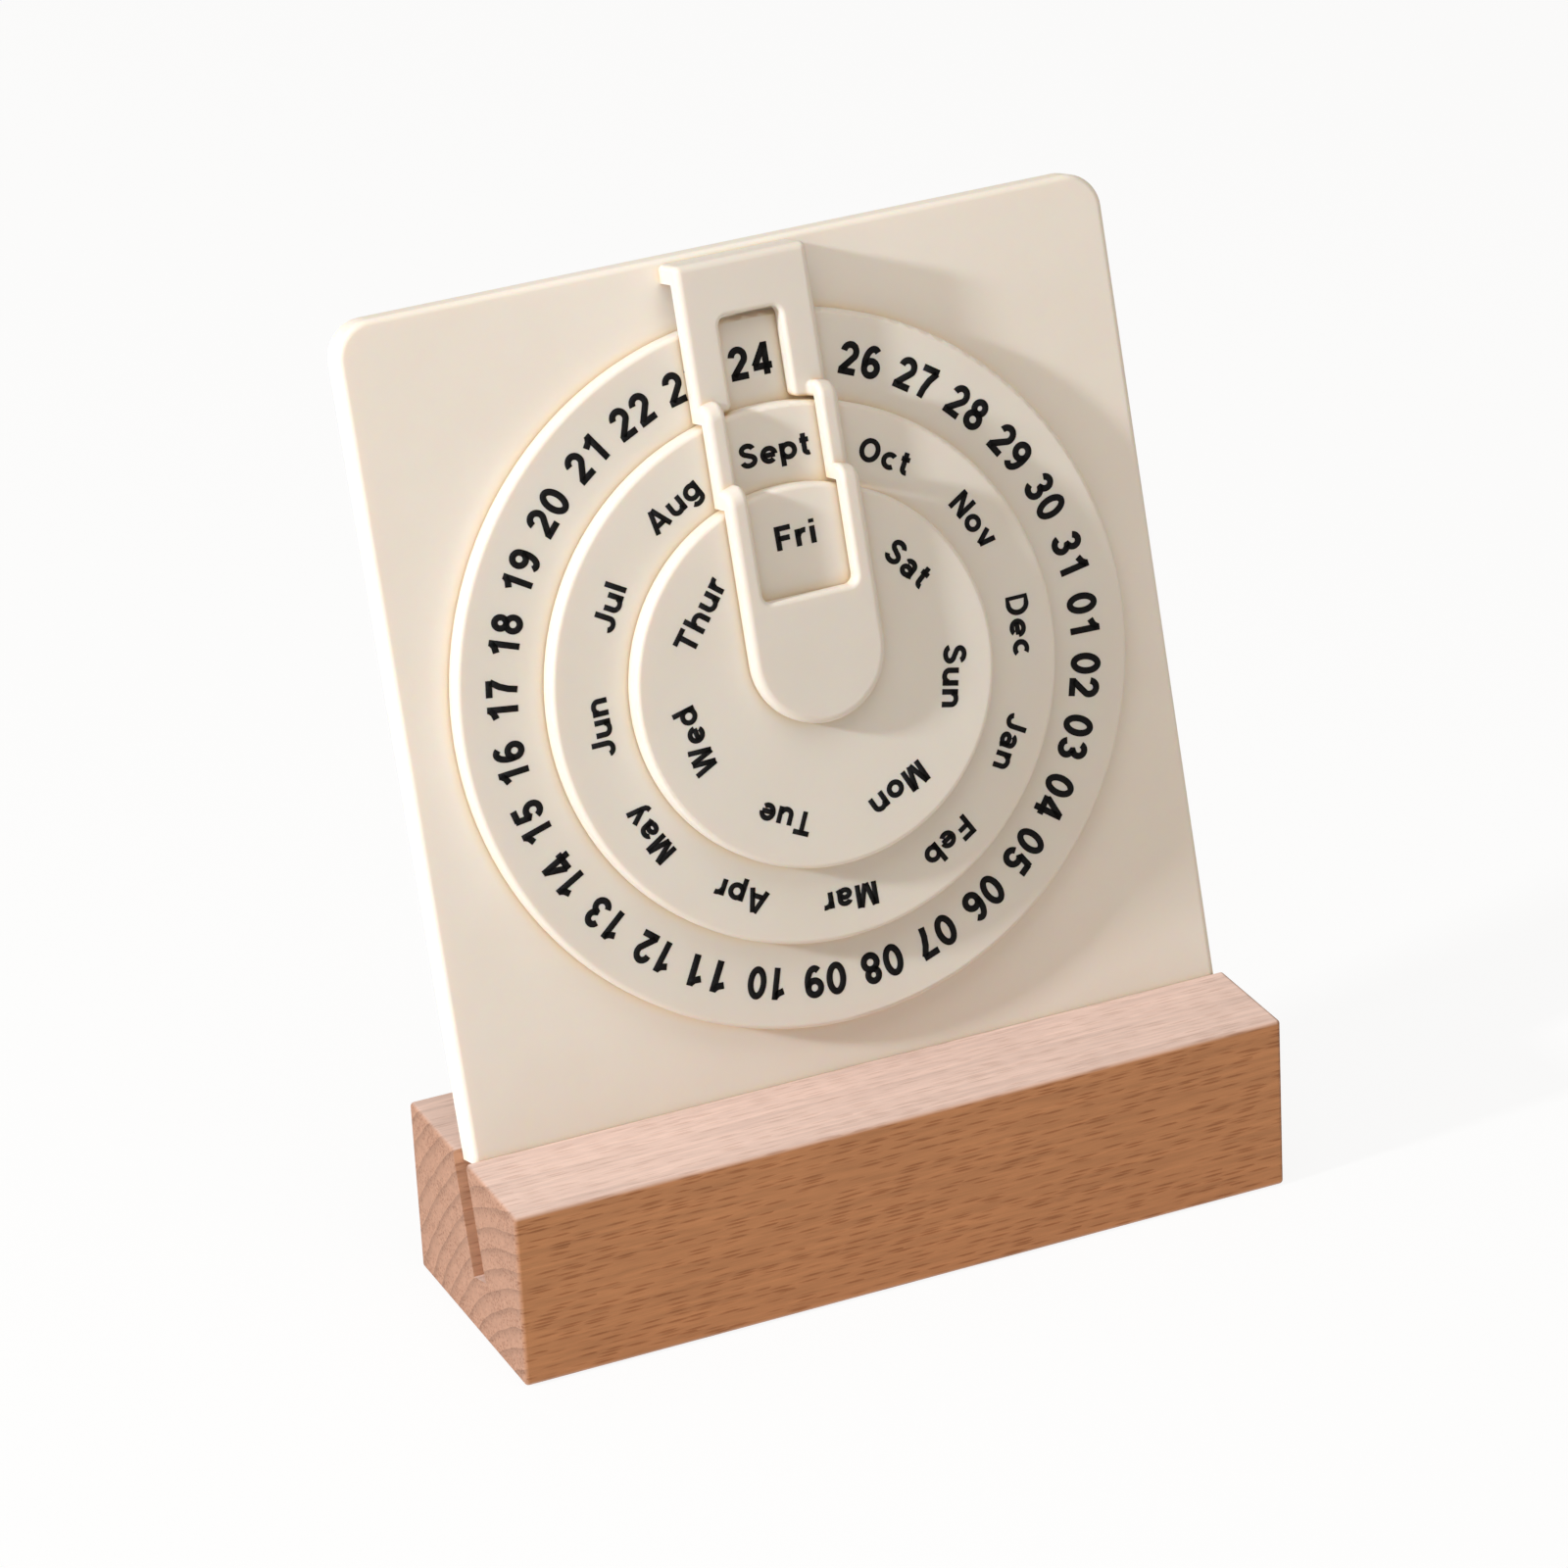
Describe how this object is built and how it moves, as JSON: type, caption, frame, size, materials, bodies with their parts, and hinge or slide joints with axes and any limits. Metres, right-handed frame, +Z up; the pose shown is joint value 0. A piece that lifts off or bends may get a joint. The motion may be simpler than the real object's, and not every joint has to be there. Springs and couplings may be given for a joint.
{
  "type": "perpetual desk calendar",
  "caption": "Desk calendar with stacked dial discs for date, month and weekday on a leaning panel in a slotted wooden block; a stepped window frame shows the day.",
  "frame": {"origin": "centre of the block's underside, on the surface that it stands on", "axes": "+X right along the block as seen from the front, -Y towards the viewer, +Z up"},
  "size_m": [0.1334, 0.0593, 0.1593],
  "materials": {
    "wood": "satin",
    "cream_plastic": "satin",
    "steel": "satin"
  },
  "bodies": {
    "base": {"base_block": "wood"},
    "panel": {"face_panel": "cream_plastic", "dial_hub": "cream_plastic", "indicator_frame": "cream_plastic", "screw_washer": "steel", "centre_screw": "steel"},
    "date": {"date_disc": "cream_plastic"},
    "month": {"month_disc": "cream_plastic"},
    "weekday": {"weekday_disc": "cream_plastic"}
  },
  "joints": [
    {"name": "panel_lift", "type": "slide", "parent": "base", "child": "panel", "axis": [0, 0.2588, 0.9659], "range_m": [0, 0.03]},
    {"name": "date_turn", "type": "hinge", "parent": "panel", "child": "date", "pos_m": [0, 0.0129, 0.0937], "axis": [0, -0.9659, 0.2588], "continuous": true},
    {"name": "month_turn", "type": "hinge", "parent": "panel", "child": "month", "pos_m": [0, 0.00923, 0.09469], "axis": [0, -0.9659, 0.2588], "continuous": true},
    {"name": "weekday_turn", "type": "hinge", "parent": "panel", "child": "weekday", "pos_m": [0, 0.00556, 0.09567], "axis": [0, -0.9659, 0.2588], "continuous": true}
  ]
}
